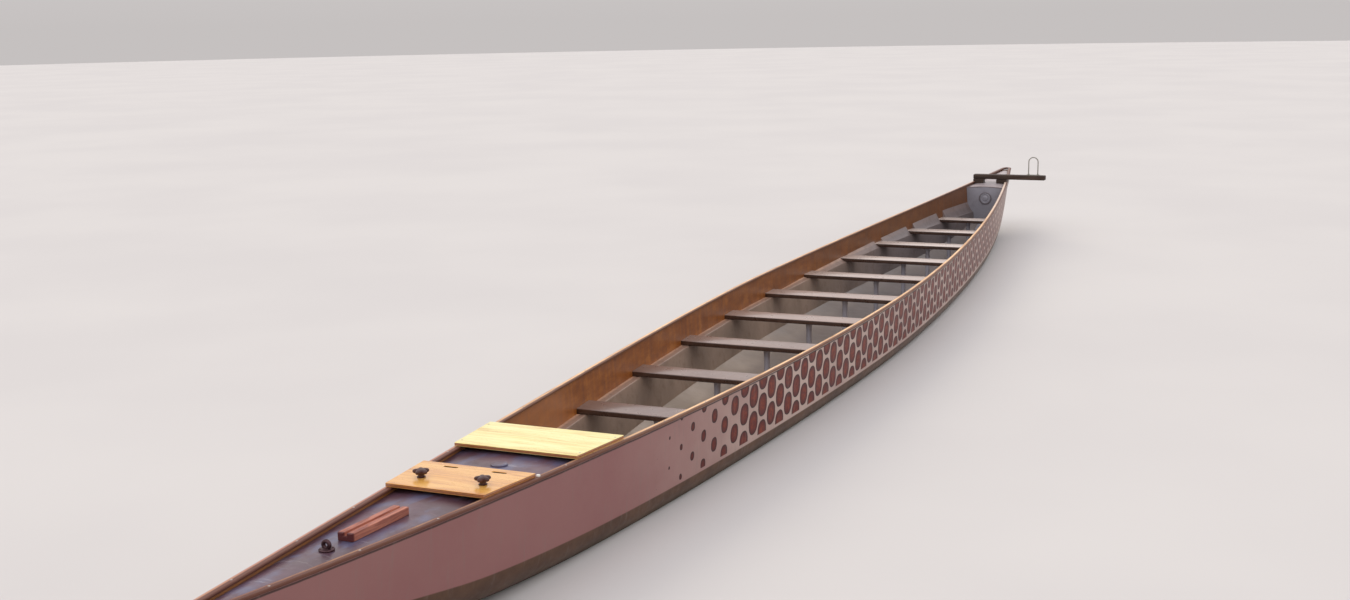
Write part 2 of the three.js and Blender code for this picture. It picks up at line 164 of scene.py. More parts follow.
def along(x, column):
    """One column of the table of ends as a smooth cubic curve, its slopes taken over two steps."""
    at = np.abs(np.asarray(x, float))
    xs, ys = ENDS[:, 0], ENDS[:, column]
    last = len(xs) - 1
    low, high = np.clip(np.arange(-1, last), 0, last), np.minimum(np.arange(1, last + 2), last)
    slopes = (ys[high] - ys[low]) / (xs[high] - xs[low])
    slopes[0] = 0
    i = np.clip(np.searchsorted(xs, at) - 1, 0, last - 1)
    h = xs[i + 1] - xs[i]
    t = (at - xs[i]) / h
    return ((2 * t ** 3 - 3 * t ** 2 + 1) * ys[i] + (t ** 3 - 2 * t ** 2 + t) * h * slopes[i]
            + (3 * t ** 2 - 2 * t ** 3) * ys[i + 1] + (t ** 3 - t ** 2) * h * slopes[i + 1])


def nose(x):
    """Share of the half breadth left near the ends: a quarter ellipse over the rounded length."""
    x = np.asarray(x, float)
    r = np.where(x > 0, NOSE[1], NOSE[-1])
    t = np.clip((np.abs(x) - (HALF - r)) / r, 0, 0.9995)
    return np.sqrt(1 - t ** 2)


def topside(x, inset):
    """Half breadths and heights of the topside's upper and lower edge."""
    x = np.asarray(x, float)
    outside = gun_half(x) - CAP_PROUD
    flare = np.minimum(FLARE_MID + FLARE_ENDS * (np.abs(x) / HALF) ** 2, outside * FLARE_MOST)
    top = outside - inset
    return top, gun_z(x) - CAP_THICK - GAP, top - flare, along(x, KNUCKLE) + inset / 4


def bilge(x):
    """Powers that round the bottom off at x, across and down: full amidships, more of a V at the ends."""
    vee = along(x, VEE)
    return ROUND_ACROSS + VEE_ACROSS * vee, ROUND_DOWN + VEE_DOWN * vee


def section(x, inset, top_steps, bottom_steps):
    """Points from the port gunwale round to the starboard one, [station, point, xyz]. The topside is
    straight; the bottom runs y = low cos(a)^p, z = knuckle - depth sin(a)^q, with a from 0 to 90 degrees."""
    x = np.asarray(x, float)[:, None]
    top, z_top, low, knuckle = topside(x, inset)
    t = np.linspace(0, 1, top_steps)[None, :-1]
    a = np.linspace(0, math.pi / 2, bottom_steps)[None, :]
    across, down = bilge(x)
    depth = knuckle - along(x, KEEL) - inset
    y = np.concatenate([top + (low - top) * t, low * np.clip(np.cos(a), 0, 1) ** across], axis=1)
    z = np.concatenate([z_top + (knuckle - z_top) * t, knuckle - depth * np.sin(a) ** down], axis=1)
    port = xyz(x, y, z)
    return np.concatenate([port, port[:, -2::-1] * (1, -1, 1)], axis=1)


def inside_half(x, z):
    """Half breadth of the topside's inner face at height z."""
    top, z_top, low, z_low = topside(x, WALL + GAP)
    return low + (top - low) * np.clip((z - z_low) / (z_top - z_low), 0, 1)


def floor_z(x, y):
    """Height of the inner face of the bottom at x and y, from the section's formula turned round."""
    _, _, low, knuckle = topside(x, WALL)
    across, down = bilge(x)
    a = np.arccos(np.clip(np.abs(y) / low, 0, 1) ** (1 / across))
    return knuckle - (knuckle - along(x, KEEL) - WALL) * np.sin(a) ** down


def waterline_half(x):
    """Half breadth of the hull's outer face at z = 0."""
    _, _, low, knuckle = topside(x, 0)
    across, down = bilge(x)
    share = np.clip(knuckle / (knuckle - along(x, KEEL)), 0, 1)
    return low * np.cos(np.arcsin(share ** (1 / down))) ** across


def stations(start, end, count):
    """Stations that crowd together towards the ends of the boat."""
    return HALF * np.sin(np.linspace(math.asin(start / HALF), math.asin(end / HALF), count))


def deck_at(x, y=0):
    """Height of a deck: its crown falls away from the centreline as a power of the way to the side."""
    side = inside_half(x, gun_z(x) - DECK_DOWN)
    return gun_z(x) - DECK_DOWN + DECK_CROWN * (1 - np.abs(y / side) ** DECK_POWER)


# Grids and pieces

def quads(rows, cols, wrap=False):
    """Corner numbers of a grid's quads; with wrap the last column joins the first."""
    here = np.arange(rows * cols).reshape(rows, cols)
    base = here if wrap else here[:, :-1]
    side = np.roll(here, -1, axis=1) if wrap else here[:, 1:]
    return np.stack([base[:-1], side[:-1], side[1:], base[1:]], -1).reshape(-1, 4)


def sheet(points, wrap=False):
    """A grid of points [row, column, xyz] as one part: its vertices and its faces."""
    rows, cols, _ = points.shape
    return points.reshape(-1, 3), quads(rows, cols, wrap).tolist()


def bridge(first, second):
    """A strip of quads between two equally long lines of points."""
    return sheet(np.stack([first, second]))


def lid(ring):
    """A fan that closes a ring of points at their mean."""
    n = len(ring)
    return np.vstack([ring, ring.mean(0)]), [(i, (i + 1) % n, n) for i in range(n)]


def swept(rings):
    """A closed solid through rings of points [ring, point, xyz], with both ends fanned shut."""
    return [sheet(rings, wrap=True), lid(rings[0]), lid(rings[-1])]


def slab(upper, lower):
    """Two like grids of points, joined all round their edges."""
    rims = [(upper[i], lower[i]) for i in (0, -1)] + [(upper[:, i], lower[:, i]) for i in (0, -1)]
    return [sheet(upper), sheet(lower)] + [bridge(*rim) for rim in rims]


def lathe(profile, centre, axis="z", steps=32):
    """A profile of (radius, height) pairs turned round a centre line, upright or fore and aft."""
    a = circle(steps)
    r, h = np.asarray(profile, float).T[..., None]
    ring = xyz(r * np.cos(a), r * np.sin(a), h)
    if axis == "x":
        ring = ring[..., [2, 0, 1]]
    return sheet(ring + centre, wrap=True)


def round_box(wide, high, radius, steps):
    """Outline of a rectangle with round corners, [..., point, 2], from the right side round by the top. The
    sizes may be arrays, for as many outlines."""
    a = (np.linspace(0, math.pi / 2, steps)[None, :] + np.arange(4)[:, None] * math.pi / 2).ravel()
    corner = np.repeat([(1, 1), (-1, 1), (-1, -1), (1, -1)], steps, axis=0)
    size = np.stack(np.broadcast_arrays(wide, high), -1)[..., None, :]
    r = np.asarray(radius)[..., None, None]
    return corner * (size / 2 - r) + r * np.stack([np.cos(a), np.sin(a)], -1)


def tube(path, radius, steps):
    """A round bar along a path of points that lies in a plane x = constant."""
    ahead = np.gradient(path, axis=0)
    ahead /= np.linalg.norm(ahead, axis=1, keepdims=True)
    side = np.array([1.0, 0, 0])
    up = np.cross(ahead, side)[:, None]
    a = circle(steps)[None, :, None]
    return swept(path[:, None] + radius * (np.cos(a) * side + np.sin(a) * up))


def build(name, parts, materials, stands_for=(), sharp=35, solid=True):
    """Joins parts (vertices, faces, material number) into one smooth-shaded piece that rides on the boat."""
    verts, faces, wears = [], [], []
    count = 0
    for part in parts:
        points, corners = part[0], part[1]
        verts.append(np.asarray(points, float))
        faces += [[c + count for c in face] for face in corners]
        wears += [part[2] if len(part) > 2 else 0] * len(corners)
        count += len(points)
    mesh = bpy.data.meshes.new(name)
    mesh.from_pydata(np.concatenate(verts).tolist(), [], faces)
    mesh.polygons.foreach_set("material_index", wears)
    tidy = bmesh.new()
    tidy.from_mesh(mesh)
    bmesh.ops.remove_doubles(tidy, verts=tidy.verts, dist=1e-6)
    bmesh.ops.dissolve_degenerate(tidy, edges=tidy.edges, dist=1e-7)
    if solid:
        bmesh.ops.recalc_face_normals(tidy, faces=tidy.faces)
    tidy.to_mesh(mesh)
    tidy.free()
    mesh.polygons.foreach_set("use_smooth", np.ones(len(mesh.polygons), bool))
    mesh.set_sharp_from_angle(angle=math.radians(sharp))
    piece = bpy.data.objects.new(name, mesh)
    bpy.context.scene.collection.objects.link(piece)
    for material in materials:
        mesh.materials.append(material)
    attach(piece, "root")
    if stands_for:
        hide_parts(*stands_for)
    return piece


def add_map(piece, name, form):
    """Gives a piece a UV map whose two numbers are worked out from each corner's place."""
    mesh = piece.data
    corner = np.empty(len(mesh.loops), int)
    mesh.loops.foreach_get("vertex_index", corner)
    place = np.empty(len(mesh.vertices) * 3)
    mesh.vertices.foreach_get("co", place)
    layer = mesh.uv_layers.new(name=name)
    layer.data.foreach_set("uv", np.stack(form(*place.reshape(-1, 3)[corner].T), -1).ravel())


def bevel(piece, width, angle=40):
    """Rounds a piece's sharp edges."""
    turn = piece.modifiers.new("edges", "BEVEL")
    turn.width, turn.segments, turn.limit_method = width, 3, "ANGLE"
    turn.angle_limit = math.radians(angle)
    turn.harden_normals = True


# Shader nodes

class Value:
    """A number or vector worked out by nodes. Plus, minus, times and the named calls add Math nodes."""

    def __init__(self, paint, socket):
        self.paint = paint
        self.socket = socket

    def math(self, kind, *others):
        return self.paint.math(kind, self, *others)

    def __add__(self, other):
        return self.math("ADD", other)

    def __sub__(self, other):
        return self.math("SUBTRACT", other)

    def __mul__(self, other):
        return self.math("MULTIPLY", other)

    def __truediv__(self, other):
        return self.math("DIVIDE", other)

    def abs(self):
        return self.math("ABSOLUTE")

    def wrap(self, low, high):
        return self.math("WRAP", high, low)

    def spread(self, low, high, to_low=0.0, to_high=1.0):
        """Map Range, eased and clamped: low goes to to_low, high to to_high."""
        ends = {"From Min": low, "From Max": high, "To Min": to_low, "To Max": to_high}
        return self.paint.value("MapRange", {"Value": self, **ends}, interpolation_type="SMOOTHSTEP")


class Paint:
    """One material and its node tree."""

    def __init__(self, name, roughness=0.5, **settings):
        self.material = bpy.data.materials.new(name)
        self.material.use_nodes = True
        self.tree = self.material.node_tree
        self.shader = self.tree.nodes["Principled BSDF"]
        for key, value in {"Roughness": roughness, **settings}.items():
            self.shader.inputs[key.replace("_", " ")].default_value = value
        self.place = Value(self, self.node("TexCoord").outputs["Object"])

    def node(self, kind, inputs=None, **settings):
        """A node whose inputs are linked to values or hold constants."""
        made = self.tree.nodes.new("ShaderNode" + kind)
        for key, value in settings.items():
            setattr(made, key, value)
        for key, value in (inputs or {}).items():
            if isinstance(value, Value):
                self.tree.links.new(value.socket, made.inputs[key])
            else:
                made.inputs[key].default_value = value
        return made

    def value(self, kind, inputs=None, out=0, **settings):
        """One output of a new node."""
        return Value(self, self.node(kind, inputs, **settings).outputs[out])

    def math(self, kind, *values):
        return self.value("Math", dict(enumerate(values)), operation=kind)

    def mapped(self, place=None, scale=(1, 1, 1), turn=(0, 0, 0), move=(0, 0, 0)):
        """A place scaled, turned and moved, the piece's own unless another is given."""
        inputs = {"Vector": place or self.place, "Scale": scale, "Rotation": turn, "Location": move}
        return self.value("Mapping", inputs)

    def split(self, place=None):
        """The three numbers of a place."""
        return [Value(self, out) for out in self.node("SeparateXYZ", {0: place or self.place}).outputs]

    def map_of(self, name):
        """The two numbers of one of the piece's UV maps."""
        return self.split(self.value("UVMap", uv_map=name))[:2]

    def noise(self, scale, detail=4.0, rough=0.5, place=None, warp=0.0):
        """Cloudy noise from 0 to 1, its size set by the scale."""
        inputs = {"Scale": scale, "Detail": detail, "Roughness": rough, "Distortion": warp}
        return self.value("TexNoise", {"Vector": place or self.place, **inputs})

    def cells(self, scale):
        """Distance from the nearest of many scattered points."""
        return self.value("TexVoronoi", {"Vector": self.place, "Scale": scale})

    def ramp(self, value, *stops):
        """Colours at given places along 0 to 1."""
        made = self.node("ValToRGB", {0: value})
        points = made.color_ramp.elements
        while len(points) < len(stops):
            points.new(0.5)
        for point, (at, colour) in zip(points, stops):
            point.position = at
            point.color = (*colour, 1)
        return Value(self, made.outputs["Color"])

    def mix(self, share, first, second):
        """The first colour, with the second over it by the share."""
        first, second = (c if isinstance(c, Value) else (*c, 1) for c in (first, second))
        return self.value("Mix", {0: share, 6: first, 7: second}, 2, data_type="RGBA")

    def patches(self, scale, first, second, detail=5, rough=0.62, low=0.36, high=0.66):
        """Two colours in soft cloudy patches."""
        return self.mix(self.noise(scale, detail, rough).spread(low, high), first, second)

    def finish(self, colour, rough=None, height=None, depth=0.001, strength=0.5):
        """Colour, roughness and fine relief into the shader."""
        ends = {"Base Color": colour, "Roughness": rough}
        if height:
            ends["Normal"] = self.value("Bump", {"Distance": depth, "Strength": strength, "Height": height})
        for name, value in ends.items():
            if value:
                self.tree.links.new(value.socket, self.shader.inputs[name])
        return self.material


# Finishes

SCALE_PITCH, SCALE_HIGH = 0.1055, 0.135          # between columns of scales, and down one column
SCALE_FIRST, SCALE_DOWN = 3.39, 0.082            # foremost column, and its first scale below the gunwale
SCALE_HALF = (0.052, 0.06)                    # half a scale's length and height
SCALE_POWER = 2.35                               # between an ellipse's 2 and a box's many
SCALE_DOT, SCALE_GROW = 0.15, 1.02               # dots start this far ahead, and grow this much a metre
SCUM_GREEN, STREAK_GREY = (0.085, 0.07, 0.045), (0.2, 0.16, 0.14)
GELCOAT_WHITE, GELCOAT_SHADE = (0.48, 0.36, 0.31), (0.38, 0.27, 0.235)
GELCOAT_BOW_SHADE = (0.225, 0.082, 0.082)
STERN_GREY = (0.2, 0.192, 0.185)
SCALE_RED, SCALE_GLOW, SCALE_DARK = (0.085, 0.009, 0.007), (0.215, 0.032, 0.01), (0.02, 0.004, 0.005)
CAP_SHADOW_DARK, SLOT_SHADE = (0.03, 0.018, 0.016), (0.03, 0.01, 0.006)
BOTTOM_BROWN, BOTTOM_DARK = (0.12, 0.062, 0.036), (0.07, 0.036, 0.022)
CAP_BOW_STARBOARD, CAP_BOW_PORT_SHADE = (0.4, 0.175, 0.14), (0.125, 0.03, 0.024)
CAP_SHADE, CAP_BLEACHED, BLOCK_END_SHADE = (0.105, 0.034, 0.02), (0.66, 0.55, 0.48), (0.07, 0.012, 0.016)
PLY_DARK, PLY_LIGHT, PLY_STAIN = (0.3, 0.1, 0.03), (0.48, 0.195, 0.065), (0.22, 0.09, 0.035)


def scale_field(u, v, shift_u, shift_v):
    """How far out from the nearest centre of one lattice of scales, 1 at a scale's edge: a superellipse."""
    du = (u - shift_u).wrap(-SCALE_PITCH, SCALE_PITCH).abs() / SCALE_HALF[0]
    dv = (v - shift_v).wrap(-SCALE_HIGH / 2, SCALE_HIGH / 2).abs() / SCALE_HALF[1]
    return (du.math("POWER", SCALE_POWER) + dv.math("POWER", SCALE_POWER)).math("POWER", 1 / SCALE_POWER)


def hull_paint():
    """White gelcoat with rows of red scales on the topsides, fading out at the bow, brown below."""
    p = Paint("hull_gelcoat_scales", 0.5, Coat_Weight=0.0, Specular_IOR_Level=0.18)
    u, down = p.map_of("sheer")
    above, _ = p.map_of("knuckle")
    waver = (p.noise(9, 3) - 0.5) * 0.004
    u = u + waver
    down = down + waver
    even = scale_field(u, down, SCALE_FIRST, SCALE_DOWN)
    odd = scale_field(u, down, SCALE_FIRST - SCALE_PITCH, SCALE_DOWN - SCALE_HIGH / 2)
    size = ((u - (SCALE_FIRST + SCALE_DOT)) * -SCALE_GROW).math("MINIMUM", 1.0)
    inside = (size - even.math("MINIMUM", odd)) + (p.noise(70, 2) - 0.5) * 0.06
    scale = inside.spread(0.0, 0.05) * above.spread(0.01, 0.013) * down.spread(0.016, 0.018)
    scale = scale * u.spread(-5.6, -2.8, 0.55, 1.0) * u.spread(-6.16, -6.15)
    rim, glow = inside.spread(0.02, 0.22, 1.0, 0.0), inside.spread(0.2, 0.62)

    white = p.patches(2.3, GELCOAT_WHITE, GELCOAT_SHADE, 5, 0.6, 0.35, 0.75)
    # painted shade and painted reflection of reddish water darken the gelcoat towards the bow
    white = p.mix((u + p.noise(1.1, 4, 0.6)).spread(2.6, 4.4) * 0.85, white, GELCOAT_BOW_SHADE)
    white = p.mix((u + p.noise(1.7, 4, 0.6) * 0.6).spread(-4.4, -5.6) * 0.9, white, STERN_GREY)
    red = p.mix(glow * p.noise(60, 4, 0.6).spread(0.3, 0.7), SCALE_RED, SCALE_GLOW)
    colour = p.mix(scale, white, p.mix(rim, red, SCALE_DARK))
    # painted shadow: a dark line on the topside just under the caps
    shadow_under_cap = down.spread(0.0125, 0.015) * down.spread(0.019, 0.023, 1.0, 0.0)
    colour = p.mix(shadow_under_cap * 0.85, colour, CAP_SHADOW_DARK)
    # brown bottom paint below the knuckle, made darker with painted shade
    brown = p.patches(6, BOTTOM_BROWN, BOTTOM_DARK, 5, 0.65, 0.3, 0.7)
    colour = p.mix(above.spread(-0.006, -0.001, 1.0, 0.0), colour, brown)
    streak = p.noise(5, 4, 0.6, p.mapped(scale=(9, 9, 0.7))).spread(0.52, 0.8)
    colour = p.mix(streak * 0.3, colour, STREAK_GREY)
    scum = (p.split()[2] + (p.noise(14, 4) - 0.5) * 0.03).spread(0.0, 0.045, 0.75, 0.0)
    colour = p.mix(scum, colour, SCUM_GREEN)
    rough = p.noise(35, 4, 0.6) * 0.25 + scum * 0.35 + 0.26
    height = p.noise(1.6, 2) * 0.6 + p.noise(420, 2) * 0.008 + scale * 0.1
    return p.finish(colour, rough, height, 0.002)


def amber_glow_paint():
    """Bare laminate of the topsides' inner faces, amber with a painted glow of light through it, and traces
    of cloth and resin runs.
    """
    p = Paint("amber_glow_laminate", 0.42, Coat_Weight=0.12, Coat_Roughness=0.25)
    x, _, z = p.split()
    cloth = p.noise(7, 5, 0.6, p.mapped(scale=(1, 1, 3)))
    runs = p.noise(4, 4, 0.55, p.mapped(scale=(7, 7, 0.6)))
    dark, mid, light = (0.165, 0.046, 0.008), (0.29, 0.092, 0.016), (0.45, 0.17, 0.035)
    colour = p.ramp(cloth * 0.55 + runs * 0.45, (0.32, dark), (0.5, mid), (0.68, light))
    # painted light: a lit patch on the amber forward of x = 3
    patch = (x + p.noise(3, 3) * 0.5).spread(3.0, 3.35)
    colour = p.mix(patch * 0.5, colour, (0.5, 0.215, 0.085))
    # painted shade: the amber darkens aft
    colour = p.mix(x.spread(-4.6, 2.6, 0.72, 0.0), colour, (0.12, 0.056, 0.027))
    weave = (p.math("SINE", x * 900) * p.math("SINE", z * 900)) * 0.5 + 0.5
    colour = p.mix(weave * 0.1, colour, (0.1, 0.04, 0.015))
    return p.finish(colour, runs * 0.3 + 0.26, weave * 0.25 + runs, 0.0008, 0.6)


def satin_wear(p):
    """Dust on the liner's gelcoat, and the roughness and slight waviness that go with it."""
    dust = p.noise(11, 6, 0.7).spread(0.5, 0.72)
    rough = p.noise(17, 4, 0.6) * 0.3 + dust * 0.15 + 0.2
    return dust, rough, p.noise(2.5, 2) + p.noise(260, 2) * 0.04


def liner_paint(name, light, shade, grime, speckle=0.0, sky_reflection=None):
    """Satin gelcoat with worn, scuffed and dusty patches; specks and a painted sky reflection where they are
    given.
    """
    p = Paint(name, 0.38, Coat_Weight=0.2, Coat_Roughness=0.2)
    dust, rough, height = satin_wear(p)
    colour = p.mix(dust * 0.35, p.patches(1.9, light, shade), grime)
    if sky_reflection:
        # painted reflection: cloudy blue-grey patches of reflected sky
        reflection_clouds = p.noise(4.5, 5, 0.6, p.mapped(scale=(1, 2.2, 1))).spread(0.46, 0.64)
        colour = p.mix(reflection_clouds * 0.75, colour, sky_reflection)
    scuff = p.noise(26, 5, 0.7, p.mapped(scale=(1, 0.18, 1), turn=(0, 0, 0.5))).spread(0.6, 0.72)
    colour = p.mix(scuff * 0.22, colour, (0.8, 0.78, 0.8))
    if speckle:
        dots = p.cells(900).spread(0.1, 0.32, 1.0, 0.0)
        colour = p.mix(dots * speckle, colour, (0.15, 0.14, 0.19))
    return p.finish(colour, rough, height, 0.0012)


def floor_paint():
    """The liner's floor: darker along the middle and lowest down."""
    p = Paint("floor_gelcoat", 0.4, Coat_Weight=0.2, Coat_Roughness=0.25)
    x, y, z = p.split()
    colour = p.patches(1.7, (0.44, 0.345, 0.262), (0.32, 0.25, 0.19))
    middle = (y.abs() + (p.noise(6, 4) - 0.5) * 0.12).spread(0.1, 0.34, 1.0, 0.0)
    colour = p.mix(middle * 0.45, colour, (0.13, 0.088, 0.064))
    low_darkening = (z + (p.noise(3, 5, 0.6) - 0.5) * 0.05).spread(-0.075, -0.05, 1.0, 0.0)
    colour = p.mix(low_darkening * 0.5, colour, (0.085, 0.055, 0.04))
    colour = p.mix(x.spread(1.2, -2.2) * 0.7, colour, (0.185, 0.166, 0.17))
    grit = p.noise(45, 6, 0.75).spread(0.56, 0.74)
    colour = p.mix(grit * 0.4, colour, (0.12, 0.1, 0.09))
    return p.finish(colour, p.noise(12, 4, 0.6) * 0.3 + 0.24, p.noise(5, 3) + grit * 0.1, 0.0012)


def bench_paint():
    """Glossy lavender-grey tops, worn and dusty, brightening aft with painted highlight, over painted shade
    below.
    """
    p = Paint("bench_gelcoat", 0.3, Coat_Weight=0.5, Coat_Roughness=0.12)
    x, _, z = p.split()
    top = p.patches(3.1, (0.215, 0.135, 0.105), (0.16, 0.095, 0.074))
    # painted highlight: the tops brighten aft
    top = p.mix((x + p.noise(2.1, 4) * 0.8).spread(2.4, 0.4) * 0.85, top, (0.38, 0.265, 0.215))
    top = p.mix(x.spread(0.2, -2.8) * 0.85, top, (0.66, 0.56, 0.5))
    rub = p.noise(16, 6, 0.72, p.mapped(scale=(1, 0.25, 1))).spread(0.55, 0.75)
    top = p.mix(rub * 0.35, top, (0.085, 0.05, 0.042))
    # painted shade on the front faces and undersides, below a line just under the top
    shade_below = p.patches(20, (0.04, 0.018, 0.011), (0.065, 0.032, 0.02), 5, 0.6, 0.3, 0.7)
    line = (z + (p.noise(40, 3) - 0.5) * 0.001).spread(BENCH_TOP - 0.0032, BENCH_TOP - 0.0016)
    height = p.noise(4, 2) + p.noise(300, 2) * 0.03
    return p.finish(p.mix(line, shade_below, top), p.noise(19, 4, 0.6) * 0.3 + 0.16, height)


def ledge_paint():
    """Ledges: pinkish gelcoat with a painted highlight pale next to the side, greyer and dirtier towards the
    floor and aft.
    """
    p = Paint("ledge_gelcoat", 0.55, Coat_Weight=0.05, Coat_Roughness=0.3, Specular_IOR_Level=0.3)
    across, _ = p.map_of("across")
    dust, rough, height = satin_wear(p)
    colour = p.patches(2.5, (0.32, 0.235, 0.178), (0.23, 0.17, 0.128))
    pale = p.patches(9, (0.66, 0.42, 0.28), (0.5, 0.28, 0.18), 4, 0.5, 0.3, 0.7)
    # painted highlight: a pale line along the side
    line = (across + (p.noise(13, 3) - 0.5) * 0.01).spread(0.01, 0.022, 1.0, 0.0)
    colour = p.mix(across.spread(0.04, 0.056, 1.0, 0.0) * 0.8, colour, (0.34, 0.215, 0.16))
    colour = p.mix(line * 0.9, colour, pale)
    colour = p.mix(p.split()[0].spread(-0.8, -3.4) * 0.85, colour, (0.165, 0.144, 0.15))
    colour = p.mix(dust * 0.35, colour, (0.14, 0.095, 0.075))
    return p.finish(colour, rough, height, 0.0012)


def cap_stains_and_shade(p, colour, rings, dark):
    """Red-brown weathering at the bow, bleached timber aft, and painted shade aft of the arm and along the
    port-side edge.
    """
    x, y, _ = p.split()
    across, _ = p.map_of("across")
    # red-brown weathering at the bow, with painted shade making the port cap darker
    weathered_and_shaded = p.mix(y.spread(-0.02, 0.02), CAP_BOW_STARBOARD, CAP_BOW_PORT_SHADE)
    weathered_and_shaded = p.mix(rings.spread(0.35, 0.65) * 0.45, weathered_and_shaded, dark)
    colour = p.mix((x + (rings - 0.5) * 1.2).spread(3.3, 4.3, 0.0, 0.9), colour, weathered_and_shaded)
    colour = p.mix(x.spread(-2.6, -4.6) * 0.8, colour, CAP_BLEACHED)
    # painted shade over the caps aft of the arm
    colour = p.mix(x.spread(-5.25, -5.55) * 0.8, colour, CAP_SHADE)
    # painted shade: a dark strip along each cap's port-side edge, wider forward
    broad = x.spread(3.6, 4.4, 0.0, 0.18)
    strip = (across - broad + (rings - 0.5) * 0.1).spread(0.34, 0.44, 1.0, 0.0)
    return p.mix(strip * 0.9, colour, CAP_SHADE)


def block_end_shade(p, colour, rings, dark):
    """The block's front end, darkened with painted shade."""
    end = p.split()[0].spread(BLOCK[1] - 0.014, BLOCK[1] - 0.004)
    return p.mix(end * 0.9, colour, BLOCK_END_SHADE)


def timber_paint(name, light, mid, dark, grain, stretch=(0.7, 9, 9), rough_from=0.34, worn=0.1, stains=None):
    """Sawn wood: rings stretched along one axis, fine pores, greyed patches and a piece's own stains and
    painted shade.
    """
    p = Paint(name, 0.5, Coat_Weight=0.04, Coat_Roughness=0.3, Specular_IOR_Level=0.3)
    rings = p.noise(4.5 * grain, 5, 0.6, p.mapped(scale=stretch), warp=0.6)
    pores = p.noise(26 * grain, 3, 0.6, p.mapped(scale=tuple(3 * s if s > 1 else s for s in stretch)))
    colour = p.ramp(rings * 0.75 + pores * 0.25, (0.34, dark), (0.5, mid), (0.66, light))
    colour = p.mix(pores.spread(0.56, 0.7) * 0.45, colour, tuple(0.45 * c for c in dark))
    blot = p.noise(8, 5, 0.65).spread(0.52, 0.74)
    colour = p.mix(blot * worn, colour, (0.3, 0.27, 0.25))
    if stains:
        colour = stains(p, colour, rings, dark)
    return p.finish(colour, pores * 0.3 + blot * 0.1 + rough_from, pores + rings * 0.6, 0.0006, 0.6)


def board_paint(name, ends, light, mid, dark):
    """Varnished plywood: face veneer with long cathedral grain, bands of plies along the edges, painted shade
    in the slots.
    """
    p = Paint(name, 0.3, Coat_Weight=0.7, Coat_Roughness=0.09)
    a, b = ends
    slope = math.atan2(float(gun_z(b) - gun_z(a)), b - a)
    middle = Vector(((a + b) / 2, 0, float(gun_z(a) + gun_z(b)) / 2 + GAP))
    level = p.mapped(turn=(0, slope, 0), move=tuple(-(Matrix.Rotation(slope, 3, "Y") @ middle)))
    height = p.split(level)[2]
    rings = p.noise(3.4, 4, 0.55, p.mapped(level, scale=(8, 0.8, 8)), warp=1.1)
    pores = p.noise(30, 3, 0.6, p.mapped(level, scale=(26, 1.4, 8)))
    face = p.ramp(rings * 0.8 + pores * 0.2, (0.36, dark), (0.5, mid), (0.62, light))
    blot = p.noise(5, 5, 0.6, level).spread(0.5, 0.75)
    face = p.mix(blot * 0.25, face, mid)
    plies = (height / (BOARD_THICK / 5)).math("PINGPONG", 1.0).spread(0.35, 0.65)
    edge = p.mix(plies, PLY_DARK, PLY_LIGHT)
    edge = p.mix(p.noise(60, 4, 0.6, level).spread(0.4, 0.7) * 0.5, edge, PLY_STAIN)
    x, y, _ = p.split()
    # painted shade on the walls of the seat board's slots
    side, end = SLOT_WIDE / 2, SLOT_Y + SLOT_LONG / 2
    slot_shade = (x - SLOT_X).abs().spread(side + 0.0015, side + 0.003, 1.0, 0.0)
    slot_shade = slot_shade * y.abs().spread(end + 0.005, end + 0.01, 1.0, 0.0)
    edge = p.mix(slot_shade, edge, SLOT_SHADE)
    face_from = (height - BOARD_THICK / 2).abs().spread(BOARD_THICK / 2 - 0.0024, BOARD_THICK / 2 - 0.0016)
    rough = pores * 0.2 + blot * 0.12 + 0.2
    return p.finish(p.mix(face_from, edge, face), rough, pores + rings * 0.4, 0.0004)


def metal_paint(name, colour, stain, rough=0.34):
    """Metal dulled by weather, with stains and fine scratches."""
    p = Paint(name, rough, Metallic=0.9)
    spots = p.noise(90, 5, 0.65).spread(0.48, 0.7)
    scratch = p.noise(300, 3, 0.6, p.mapped(scale=(1, 0.1, 1)))
    dull = scratch * 0.2 + spots * 0.25 + (rough - 0.12)
    return p.finish(p.mix(spots * 0.7, colour, stain), dull, scratch + spots, 0.0002, 0.4)


def plastic_paint(name, colour, worn):
    """Moulded plastic with a fine pitted skin, greyed in patches."""
    p = Paint(name, 0.45)
    patch = p.noise(40, 4, 0.6).spread(0.45, 0.7)
    return p.finish(p.mix(patch * 0.6, colour, worn), patch * 0.2 + 0.34, p.cells(1400), 0.00025)


def backdrop_paint():
    """Pale matt studio floor, a little uneven so that it isn't a dead flat tone."""
    p = Paint("studio_floor", 0.7)
    return p.finish(p.patches(0.35, (0.57, 0.555, 0.545), (0.6, 0.585, 0.57), 3, 0.5, 0.3, 0.7))


hull_finish = hull_paint()
laminate = amber_glow_paint()
floor_finish = floor_paint()
ledge_finish = ledge_paint()
bench_finish = bench_paint()
liner = liner_paint("liner_gelcoat", (0.38, 0.375, 0.42), (0.3, 0.295, 0.335), (0.17, 0.145, 0.145))
deck_finish = liner_paint(
    "deck_gelcoat", (0.115, 0.055, 0.08), (0.07, 0.033, 0.044), (0.09, 0.042, 0.045), 0.12,
    sky_reflection=(0.105, 0.11, 0.195))
aft_deck_finish = liner_paint(
    "aft_deck_gelcoat", (0.46, 0.4, 0.4), (0.35, 0.295, 0.3), (0.2, 0.15, 0.14), 0.05)
hatch_ring_finish = liner_paint(
    "hatch_ring_plastic", (0.22, 0.2, 0.22), (0.17, 0.155, 0.17), (0.12, 0.1, 0.1))
cap_finish = timber_paint(
    "cap_timber", (0.92, 0.64, 0.37), (0.8, 0.5, 0.27), (0.46, 0.25, 0.12), 0.9,
    worn=0.15, stains=cap_stains_and_shade)
